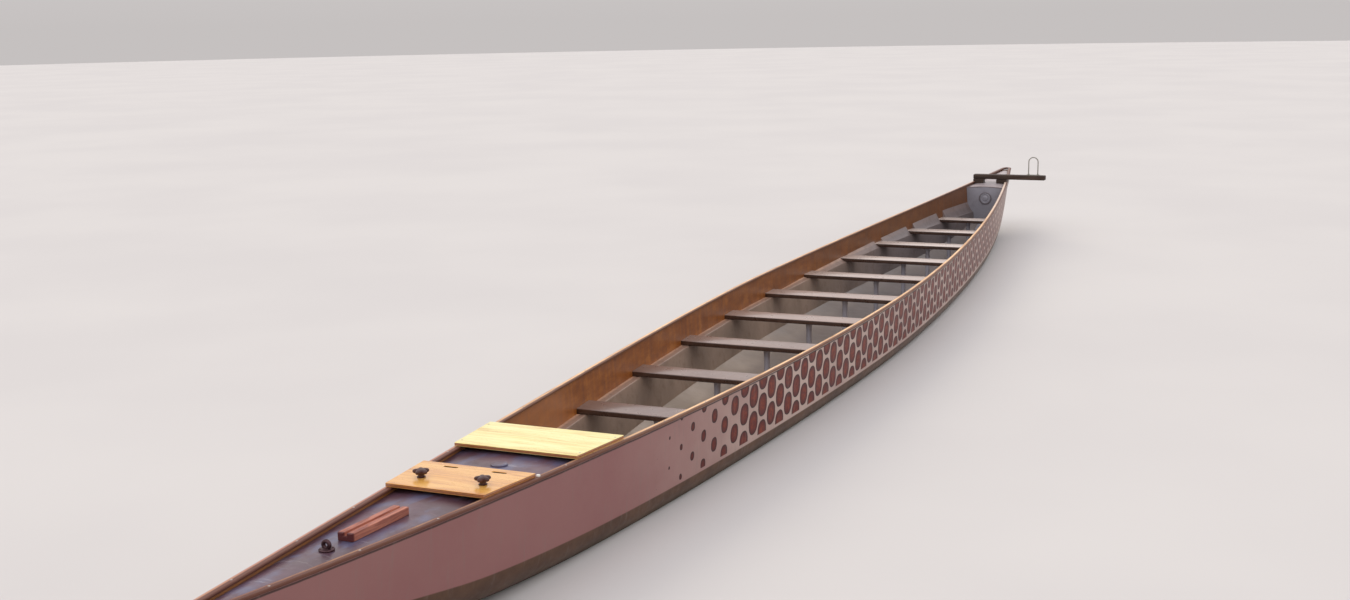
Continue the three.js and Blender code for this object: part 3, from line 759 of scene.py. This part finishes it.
block_finish = timber_paint(
    "block_timber", (0.6, 0.25, 0.16), (0.42, 0.15, 0.1), (0.2, 0.065, 0.05), 1.6, stains=block_end_shade)
arm_finish = timber_paint(
    "arm_timber", (0.075, 0.046, 0.032), (0.045, 0.028, 0.02), (0.022, 0.013, 0.01), 1.4,
    stretch=(9, 0.7, 9), rough_from=0.42)
drum_ply = board_paint(
    "drum_board_ply", DRUM_BOARD, (0.94, 0.9, 0.4), (0.92, 0.8, 0.28), (0.78, 0.55, 0.15))
seat_ply = board_paint(
    "seat_board_ply", SEAT_BOARD, (0.84, 0.46, 0.105), (0.76, 0.37, 0.07), (0.56, 0.225, 0.04))
knob_finish = plastic_paint("knob_plastic", (0.05, 0.014, 0.011), (0.1, 0.038, 0.03))
fitting_finish = plastic_paint("pale_fitting", (0.78, 0.76, 0.7), (0.6, 0.55, 0.5))
eye_finish = metal_paint("eye_metal", (0.1, 0.055, 0.062), (0.05, 0.022, 0.02), 0.42)
loop_finish = metal_paint("loop_steel", (0.36, 0.35, 0.31), (0.19, 0.17, 0.14))
screw_finish = metal_paint("screw_steel", (0.55, 0.5, 0.46), (0.24, 0.17, 0.13))


# Hull, caps, decks

def hull_skin():
    """The moulding: outer and inner surfaces by the section formula, joined by a rim along the gunwale."""
    count, top_steps, bottom_steps = 260, 10, 26
    x = stations(-HALF, HALF, count)
    outer = section(x, 0, top_steps, bottom_steps)
    outer[..., 1] *= nose(x)[:, None]
    inner = section(stations(*INNER_ENDS, count), WALL, top_steps, bottom_steps)
    middle = outer.shape[1] // 2
    parts = [(*sheet(outer), 0), (*sheet(inner), 1)]
    for side in (0, -1):
        parts.append((*bridge(outer[:, side], inner[:, side]), 0))
    for end in (0, -1):
        for wall, wears in ((outer, 0), (inner, 1)):
            port, starboard = wall[end, :middle + 1], wall[end, :middle - 1:-1]
            parts.append((*bridge(port, starboard), wears))
        parts.append((*bridge(outer[end, [0, -1]], inner[end, [0, -1]]), 0))
    piece = build("hull_skin", parts, [hull_finish, laminate], ["hull_shell"])
    add_map(piece, "sheer", lambda px, py, pz: (px, gun_z(px) - pz))
    add_map(piece, "knuckle", lambda px, py, pz: (pz - along(px, KNUCKLE), px))


def gunwale_cap(side, s):
    """A wooden strip with round corners carried along the sheer, its inner edge never past the middle."""
    x = stations(-HALF, HALF, 200)
    out = gun_half(x) * nose(x)
    inner = np.maximum(out - CAP_WIDE, GAP / 2)
    wide = out - inner
    outline = round_box(wide, CAP_THICK, np.minimum(CAP_ROUND, wide / 3), 5)
    y = (out + inner)[:, None] / 2 + outline[..., 0]
    z = (gun_z(x) - CAP_THICK / 2)[:, None] + outline[..., 1]
    piece = build(f"cap_{side}", swept(xyz(x[:, None], s * y, z)), [cap_finish],
                  [f"gunwale_{side}"])

    def across(px, py, pz):
        way = (gun_half(px) * nose(px) - s * py) / CAP_WIDE
        return (1 - s) / 2 + s * way, px

    add_map(piece, "across", across)


def deck(name, ends, node, finish):
    """A crowned plate: a power curve across, dropped from the gunwale, its edges against the topsides."""
    x = stations(ends[0] + GAP, ends[1] - GAP, 60)[:, None]
    y = inside_half(x, gun_z(x) - DECK_DOWN) * np.linspace(-1, 1, 33)[None, :]
    upper = xyz(x, y, deck_at(x, y))
    bevel(build(name, slab(upper, upper - (0, 0, DECK_THICK)), [finish], [node]), 0.002)


# Inside of the boat

def ledge_edge(x):
    """Half breadth of the side ledge's upper inner edge."""
    return inside_half(x, LEDGE_Z) - LEDGE_WIDE


def ledge_top(x):
    """Height of a ledge against the boat's side: level forward, climbing in a straight line aft."""
    return LEDGE_Z + CLIMB_HIGH * np.clip((CLIMB_FROM - x) / (CLIMB_FROM - CLIMB_TO), 0, 1)


def ledge_foot(x):
    """Where the leaning inner face of a ledge meets the floor: half breadth and height."""
    z = np.zeros_like(np.asarray(x, float))
    fall = (LEDGE_SPREAD - LEDGE_LEAN) / (LEDGE_Z - LEDGE_LEAN_AT + LEDGE_DEEP)
    for _ in range(30):
        y = ledge_edge(x) - LEDGE_LEAN - fall * (LEDGE_Z - LEDGE_LEAN_AT - z)
        z = 0.5 * (z + floor_z(x, y))
    return y, z


def side_ledge(side, s):
    """Buoyancy box along one side: top with a rounded edge, inner face leaning in to the floor. Aft its
    outer edge climbs the side, less the rebates for the planks. Its map gives the way in from the side."""
    reach = BENCH_DEEP / 2 + GAP
    ends = (BENCH_MIDDLES[:, None] + np.array([-reach - 1e-4, -reach, reach, reach + 1e-4])).ravel()
    x = np.sort(np.concatenate([np.linspace(*LEDGE_ENDS, 240), ends[ends < LEDGE_ENDS[1]]]))[:, None]
    in_rebate = np.any(np.abs(x - BENCH_MIDDLES) < reach + 5e-5, axis=1, keepdims=True)
    outer = np.where(in_rebate, LEDGE_Z, ledge_top(x))
    wall, edge, lean = inside_half(x, outer), ledge_edge(x), LEDGE_Z - LEDGE_LEAN_AT
    inner = edge - LEDGE_LEAN
    foot_y, foot_z = ledge_foot(x)
    r = LEDGE_ROUND
    a = np.linspace(math.pi / 2, math.pi, 6)[None, :]
    across = np.linspace(0, 1, 8)[None, :-1]
    hollow = (outer - LEDGE_Z) * (1 - across) ** 1.25
    face = np.linspace(0, 1, 5)[None, 1:]
    back = np.linspace(0, 1, 12)[None, 1:-1]
    low = topside(x, WALL + GAP)[2]
    back_y = foot_y + (low - 0.002 - foot_y) * back
    y = np.concatenate([wall + (edge + r - wall) * across, edge + r + r * np.cos(a), inner,
                        inner + (foot_y - inner) * face, back_y, low], axis=1)
    z = np.concatenate([LEDGE_Z + hollow, LEDGE_Z - r + r * np.sin(a) + 0 * x, lean + 0 * x,
                        lean + (foot_z - lean) * face, floor_z(x, back_y), topside(x, WALL)[3]], axis=1)
    piece = build(f"ledge_{side}", swept(xyz(x, s * y, z)), [ledge_finish],
                  [f"side_ledge_{side}"])
    add_map(piece, "across", lambda px, py, pz: (inside_half(px, pz) - np.abs(py), px))


def floor_pan():
    """The liner over the bottom between the ledges: the inner form raised by a little over its thickness."""
    x = np.linspace(AFT_BULKHEAD + GAP, FORE_BULKHEAD - GAP, 220)[:, None]
    y = (ledge_foot(x)[0] + PAN_LAP) * np.linspace(-1, 1, 41)[None, :]
    upper = xyz(x, y, floor_z(x, y) + PAN_LIFT)
    build("floor_pan", slab(upper, upper - (0, 0, PAN_THICK)), [floor_finish])


def floor_rib():
    """Low rib down the middle of the floor, with a slim post flared at head and foot under each bench."""
    x = np.linspace(AFT_BULKHEAD + RIB_SHORT, FORE_BULKHEAD - RIB_SHORT, 160)[:, None]
    a = np.linspace(0, math.pi, 14)
    y = np.append(np.sign(np.cos(a)) * np.abs(np.cos(a)) ** 0.55 * RIB_HALF, (-RIB_FOOT, RIB_FOOT))
    z = np.append(np.sin(a) ** 0.7 * RIB_HIGH, (-0.0005, -0.0005))
    parts = swept(xyz(x, y, along(x, KEEL) + WALL + 0.002 + z))
    for at in BENCH_MIDDLES:
        foot = float(along(at, KEEL)) + WALL + RIB_HIGH - 0.004
        h = np.linspace(0, 1, 18)
        flare = POST_FLARE * (np.exp(-h * 26) + np.exp(-(1 - h) * 20))
        profile = np.stack([POST + flare, foot + (BENCH_LOW - 0.0002 - foot) * h], -1)
        profile = np.vstack([(0, profile[0, 1]), profile, (0, profile[-1, 1])])
        parts.append(lathe(profile, (at, 0, 0), steps=24))
    build("floor_rib", parts, [liner], ["keelson"])


def bench(number):
    """A plank carried across from side to side, lying on both ledges: an outline with round edges at each
    place across. It dips very slightly in the middle, as a used bench does."""
    half = (BENCH_TOP - BENCH_LOW) / 2
    outline = round_box(BENCH_DEEP, 2 * half, BENCH_ROUND, 6)
    x, z = (outline + (BENCH_MIDDLES[number], BENCH_LOW + half)).T
    t = np.sin(np.linspace(-math.pi / 2, math.pi / 2, 25))[:, None]
    y = (inside_half(x, z) - 0.0002) * t
    dip = BENCH_DIP * (outline[:, 1] > 0) * (1 - t ** 2)
    build(f"bench_top_{number + 1:02d}", swept(xyz(x, y, z - dip)), [bench_finish],
          [f"bench_{number + 1:02d}"], sharp=50)


# Boards and fittings

def board(name, ends, material, node, slots=False):
    """A flat board over both caps: patches of a trapezoid, less its round-ended slots, then thickened."""
    a, b = ends
    low, high = float(gun_z(a)), float(gun_z(b))

    def edge(x, s):
        return s * (gun_half(a) + (gun_half(b) - gun_half(a)) * (x - a) / (b - a) - BOARD_INSET[s])

    def patch(x, *lines):
        lines = [line + 0 * x for line in lines]
        t = np.linspace(0, 1, 5)[None, 1:]
        y = np.concatenate([lines[0]] + [p + (q - p) * t for p, q in zip(lines, lines[1:])], axis=1)
        z = low + (high - low) * (x - a) / (b - a) + GAP + BOARD_THICK
        return sheet(xyz(x, y, z)[::-1])

    r = SLOT_WIDE / 2
    near, far = SLOT_Y - SLOT_LONG / 2 + r, SLOT_Y + SLOT_LONG / 2 - r
    parts = []
    for row in [(a, SLOT_X - r, 4), (SLOT_X + r, b, 8)] if slots else [(a, b, 10)]:
        x = np.linspace(*row)[:, None]
        parts.append(patch(x, edge(x, -1), -far, -near, near, far, edge(x, 1)))
    if slots:
        x = SLOT_X - r * np.cos(np.linspace(0, math.pi, 9))[:, None]
        bulge = np.sqrt(np.maximum(r ** 2 - (x - SLOT_X) ** 2, 0))
        parts.append(patch(x, edge(x, -1), -far - bulge))
        parts.append(patch(x, bulge - near, near - bulge))
        parts.append(patch(x, far + bulge, edge(x, 1)))
    piece = build(name, parts, [material], [node], solid=False)
    thick = piece.modifiers.new("thickness", "SOLIDIFY")
    thick.thickness, thick.offset = BOARD_THICK, -1
    bevel(piece, 0.0022)


def star_knob(side, s):
    """Hand knob with five lobes: radius = hub + lobe (0.5 + 0.5 cos 5a)^0.8, times sin(v)^0.35 as v goes from
    its underside over its edge to its domed top, on a stem."""
    a = circle(80)[None, :]
    v = np.linspace(0, math.pi, 15)[:, None]
    swell = np.sin(v) ** 0.35
    star = (KNOB_HUB + KNOB_LOBE * (0.5 + 0.5 * np.cos(5 * a)) ** 0.8) * swell
    centre = (KNOB_X, s * KNOB_Y, float(gun_z(KNOB_X)) + GAP + BOARD_THICK + KNOB_UP)
    z = KNOB_HEAD + KNOB_HALF * (1 - np.cos(v)) + 0.002 * (1 - swell)
    head = xyz(star * np.cos(a), star * np.sin(a), z) + centre
    stem = [(0, 0), (0.0165, 0), (0.0165, 0.0022), (0.0125, 0.003), (0.0115, 0.012), (0.013, 0.0145),
            (0, 0.0145)]
    cap = [(0, 0.029), (0.0095, 0.029), (0.0105, 0.0298), (0.01, 0.0306), (0.0045, 0.0311), (0, 0.0312)]
    build(f"star_knob_{side}", [sheet(head, wrap=True), lathe(stem, centre), lathe(cap, centre)],
          [knob_finish], [f"seat_knob_{side}"], sharp=50)


def figurehead_block():
    """Two runners with a groove between them, carried along the deck, ends slightly chamfered."""
    x = np.array([BLOCK[0], BLOCK[0] + 0.004, BLOCK[1] - 0.004, BLOCK[1]])[:, None]
    groove, floor = BLOCK_GROOVE / BLOCK_HALF, 1 - BLOCK_GROOVE_DEEP / BLOCK_HIGH
    port = np.array([(1, 0), (1, 1), (groove, 1), (groove, floor)])
    y, z = np.vstack([port, port[::-1] * (-1, 1)]).T
    shrink = np.array([0.94, 1, 1, 0.94])[:, None]
    up = z * BLOCK_HIGH * (1 - (1 - shrink) * (z > 0.9))
    rings = xyz(x, y * BLOCK_HALF * shrink, deck_at(x) + GAP + up)
    ends = [(ring, [[0, 1, 2, 3], [7, 6, 5, 4], [0, 3, 4, 7]]) for ring in (rings[0], rings[-1])]
    piece = build("runner_block", [sheet(rings, wrap=True), *ends], [block_finish],
                  ["figurehead_block"])
    bevel(piece, 0.0018, 30)


def deck_ring():
    """Mooring eye: round flange with a domed foot, four screws and a standing ring."""
    base = float(deck_at(EYE_X)) + GAP + 0.001
    profile = [(0, 0), (EYE_BASE, 0), (EYE_BASE, 0.0035), (EYE_BASE - 0.002, 0.0058), (0.014, 0.0072),
               (0.0095, 0.01), (0, 0.0105)]
    a, b = circle(40)[:, None], circle(14)[None, :]
    out = EYE_RING + EYE_WIRE * np.cos(b)
    ring = xyz(EYE_X + EYE_WIRE * np.sin(b), out * np.cos(a), base + 0.0065 + EYE_RING + out * np.sin(a))
    faces = quads(41, 14, wrap=True) % (40 * 14)
    parts = [lathe(profile, (EYE_X, 0, base)), (ring.reshape(-1, 3), faces.tolist())]
    head = [(0, 0.0055), (0.0036, 0.006), (0.0032, 0.0076), (0, 0.0084)]
    for turn in circle(4) + math.pi / 4:
        at = (EYE_X + EYE_SCREWS * math.cos(turn), EYE_SCREWS * math.sin(turn), base)
        parts.append(lathe(head, at, steps=14))
    build("mooring_ring", parts, [eye_finish], ["deck_eye"])


def inspection_plate():
    """Round plate on the foredeck with a raised rim, a groove inside it and a dished middle."""
    base = float(deck_at(PLATE_X + PLATE_R)) + GAP
    profile = [(0, 0), (PLATE_R, 0), (PLATE_R, 0.003), (PLATE_R - 0.0015, 0.0046), (PLATE_R - 0.006, 0.005),
               (PLATE_R - 0.008, 0.004), (PLATE_R - 0.0095, 0.004), (PLATE_R - 0.0105, 0.0048),
               (0.012, 0.004), (0, 0.0036)]
    build("deck_port", [lathe(profile, (PLATE_X, 0, base), steps=48)], [deck_finish],
          ["deck_plate"])


def hatch():
    """Inspection hatch in the aft bulkhead: flange, and a lid with a dished face round a low boss."""
    face = AFT_BULKHEAD + GAP
    ring = [(HATCH_R - 0.012, 0), (HATCH_R, 0), (HATCH_R, 0.0026), (HATCH_R - 0.002, 0.0046),
            (HATCH_R - 0.0105, 0.005), (HATCH_R - 0.012, 0.004), (HATCH_R - 0.012, 0)]
    build("hatch_flange", [lathe(ring, (face, 0, HATCH_Z), "x", 56)], [hatch_ring_finish],
          ["hatch_ring"])
    r = HATCH_R - 0.0126
    lid_profile = [(0, -0.009), (r, -0.009), (r, 0.006), (r - 0.002, 0.0078), (r - 0.007, 0.008),
                   (r - 0.01, 0.0046), (0.026, 0.0036), (0.0245, 0.0066), (0.0215, 0.0078), (0, 0.009)]
    build("hatch_cover", [lathe(lid_profile, (AFT_BULKHEAD - 0.001, 0, HATCH_Z), "x", 56)],
          [liner], ["hatch_lid"])


def steering_arm():
    """Timber across the stern with softened edges and ends."""
    low, high = ARM_SPAN
    ends = np.array([0, 0.004, 0.012])
    y = np.concatenate([low + ends, np.linspace(low + 0.05, high - 0.05, 12), high - ends[::-1]])[:, None]
    shrink = np.interp(np.minimum(y - low, high - y), ends, (0.86, 0.95, 1.0))
    x, z = round_box(ARM_DEEP, ARM_THICK, 0.007, 5).T
    rings = xyz(ARM_X + x * shrink, y, ARM_LOW + ARM_THICK / 2 + z * shrink)
    build("arm_timber", swept(rings), [arm_finish], ["steering_arm"], sharp=50)


def arm_pad(side, s):
    """Timber pad under the arm: it stands on the deck and laps over the cap."""
    x = np.linspace(ARM_X - PAD_LONG / 2, ARM_X + PAD_LONG / 2, 5)[:, None]
    cap_edge, cap_top = gun_half(x) - CAP_WIDE - 0.0006, gun_z(x) + GAP
    on_deck = PAD_INNER + (cap_edge - PAD_INNER) * np.linspace(0, 1, 5)[None, :]
    y = s * np.concatenate([on_deck, cap_edge, PAD_OUTER + 0 * x], axis=1)
    z = np.concatenate([deck_at(x, on_deck) + GAP, cap_top, cap_top], axis=1)
    parts = slab(xyz(x, y, z), xyz(x, y, ARM_LOW - GAP))
    bevel(build(f"pad_{side}", parts, [arm_finish], [f"arm_pad_{side}"]), 0.003)


def oar_loop():
    """Steel hoop for the steering oar: two legs and a half circle, on a plate with a nut at each foot."""
    y0, y1 = LOOP_Y
    middle, half = (y0 + y1) / 2, (y1 - y0) / 2
    foot = ARM_LOW + ARM_THICK + GAP
    spring = LOOP_TOP - LOOP_WIRE - half
    a = np.linspace(0, math.pi, 30)
    leg = np.linspace(foot + 0.003, spring - 0.004, 8)
    y = np.concatenate([np.full(8, y0), middle - half * np.cos(a), np.full(8, y1)])
    z = np.concatenate([leg, spring + half * np.sin(a), leg[::-1]])
    wide, past = LOOP_PLATE
    plate_x, plate_y = round_box(wide, y1 - y0 + 2 * past, 0.012, 6).T
    inset = np.array([1, 1, 0.97])[:, None]
    up = np.array([0, 0.0042, 0.005])[:, None]
    plate = xyz(ARM_X + plate_x * inset, middle + plate_y * inset, foot + up)
    nut = [(0, 0.004), (0.0105, 0.004), (0.0105, 0.0115), (0.0092, 0.013), (0, 0.013)]
    parts = tube(xyz(ARM_X, y, z), LOOP_WIRE, 14) + swept(plate)
    parts += [lathe(nut, (ARM_X, at, foot), steps=6) for at in LOOP_Y]
    build("oar_hoop", parts, [loop_finish], ["oar_loop"])


def corner_buttons():
    """A small round pale button on each cap, close behind the seat board's corners."""
    x = SEAT_BOARD[0] - BUTTON_BEHIND
    profile = [(0, 0), (BUTTON_R, 0), (BUTTON_R, 0.0035), (BUTTON_R - 0.0015, 0.0058), (0.004, 0.0068),
               (0, 0.0068)]
    y, z = float(gun_half(x)) - BUTTON_IN, float(gun_z(x)) + GAP
    parts = [lathe(profile, (x, s * y, z), steps=24) for s in SIDES.values()]
    build("corner_buttons", parts, [fitting_finish])


def screws():
    """Small countersunk heads: along both caps, and one near each corner of the drum board."""
    head = [(0, 0.0008), (0.0012, 0.0003), (0.0022, 0.001), (0.0042, 0.0006), (0.0046, -0.0006),
            (0, -0.0006)]
    covered = [(a - 0.01, b + 0.01) for a, b in (SEAT_BOARD, DRUM_BOARD)] + [(ARM_X - 0.06, ARM_X + 0.06)]
    places = []
    for x in np.arange(*SCREW_SPAN, SCREW_EVERY):
        wide = float(gun_half(x))
        if wide > SCREW_LEAST and not any(a < x < b for a, b in covered):
            places += [(x, s * (wide - CAP_WIDE / 2), float(gun_z(x))) for s in SIDES.values()]
    a, b = DRUM_BOARD
    for x in (a + SCREW_INSET[0], b - SCREW_INSET[0]):
        share = (x - a) / (b - a)
        z = float(gun_z(a)) * (1 - share) + float(gun_z(b)) * share + GAP + BOARD_THICK
        wide = float(gun_half(x)) - SCREW_INSET[1]
        places += [(x, s * (wide - BOARD_INSET[s]), z) for s in SIDES.values()]
    build("cap_screws", [lathe(head, place, steps=12) for place in places], [screw_finish])


hull_skin()
for side, s in SIDES.items():
    gunwale_cap(side, s)
    side_ledge(side, s)
    star_knob(side, s)
deck("fore_deck_skin", FORE_DECK, "foredeck", deck_finish)
deck("aft_deck_skin", AFT_DECK, "aft_deck", aft_deck_finish)
floor_pan()
floor_rib()
for number in range(BENCHES):
    bench(number)
board("drum_board_ply", DRUM_BOARD, drum_ply, "drum_board")
board("seat_board_ply", SEAT_BOARD, seat_ply, "drummer_seat_board", slots=True)
figurehead_block()
deck_ring()
inspection_plate()
corner_buttons()
hatch()
steering_arm()
for side, s in SIDES.items():
    arm_pad(side, s)
oar_loop()
screws()
for node in ("fore_bulkhead", "aft_bulkhead"):
    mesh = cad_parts[node].data
    mesh.materials.clear()
    mesh.materials.append(liner)


# Studio

def studio_floor():
    """Pale floor at the waterline: rings from the boat's waterline out to a wide circle."""
    a = circle(400)
    x = WATER_END * np.cos(a)
    inner = xyz(x, np.sign(np.sin(a)) * np.maximum(waterline_half(x) - FLOOR_LAP, 0), 0)
    outer = FLOOR_REACH * xyz(np.cos(a), np.sin(a), 0)
    share = (np.linspace(0, 1, 14) ** 3)[:, None, None]
    points, faces = sheet(inner * (1 - share) + outer * share, wrap=True)
    mesh = bpy.data.meshes.new("studio_floor")
    mesh.from_pydata(points.tolist(), [], faces)
    mesh.materials.append(backdrop_paint())
    ground = bpy.data.objects.new("studio_floor", mesh)
    bpy.context.scene.collection.objects.link(ground)


def light(name, kind, place, aim, power, colour, **settings):
    """A lamp at a place, turned to a point, that isn't seen in reflections."""
    lamp = bpy.data.lights.new(name, kind)
    lamp.energy, lamp.color = power, colour
    for key, value in settings.items():
        setattr(lamp, key, value)
    holder = bpy.data.objects.new(name, lamp)
    holder.location = place
    holder.rotation_mode = "QUATERNION"
    holder.rotation_quaternion = (Vector(aim) - Vector(place)).to_track_quat("-Z", "Y")
    holder.visible_glossy = False
    bpy.context.scene.collection.objects.link(holder)


def camera():
    """Stands where the photographer stood, off the port bow, 2.1 m above the water."""
    ahead = np.array([-math.cos(YAW) * math.cos(PITCH), -math.sin(YAW) * math.cos(PITCH), -math.sin(PITCH)])
    level = np.cross(ahead, (0, 0, 1))
    level /= np.linalg.norm(level)
    over = np.cross(level, ahead)
    right = math.cos(ROLL) * level + math.sin(ROLL) * over
    up = math.cos(ROLL) * over - math.sin(ROLL) * level
    data = bpy.data.cameras.new("photographer")
    data.lens, data.sensor_width, data.clip_end = LENS, SENSOR, 400
    holder = bpy.data.objects.new("photographer", data)
    turn = Matrix((right, up, -ahead)).transposed().to_4x4()
    holder.matrix_world = Matrix.Translation(CAMERA_PLACE) @ turn
    bpy.context.scene.collection.objects.link(holder)
    bpy.context.scene.camera = holder


def daylight():
    """A soft dome, brighter overhead than at the horizon."""
    world = bpy.data.worlds.new("studio")
    bpy.context.scene.world = world
    world.use_nodes = True
    tree = world.node_tree
    place, split = tree.nodes.new("ShaderNodeTexCoord"), tree.nodes.new("ShaderNodeSeparateXYZ")
    tree.links.new(place.outputs["Generated"], split.inputs[0])
    height = tree.nodes.new("ShaderNodeValToRGB")
    low, high = height.color_ramp.elements
    low.position, low.color = 0.0, (0.5, 0.475, 0.47, 1)
    high.position, high.color = 0.6, (1.0, 0.975, 1.0, 1)
    tree.links.new(split.outputs["Z"], height.inputs[0])
    back = tree.nodes["Background"]
    tree.links.new(height.outputs["Color"], back.inputs["Color"])
    back.inputs["Strength"].default_value = 1.12
    bpy.context.scene.view_settings.view_transform = "Standard"


studio_floor()
camera()
daylight()
light("key", "SUN", (-8.5, -5.3, 4.5), (0, 0, 0), 1.5, (1.0, 0.88, 0.72), angle=math.radians(22))
light("fill", "SUN", (9, 6, 7), (0, 0, 0), 0.35, (0.95, 0.92, 1.0), angle=math.radians(60))
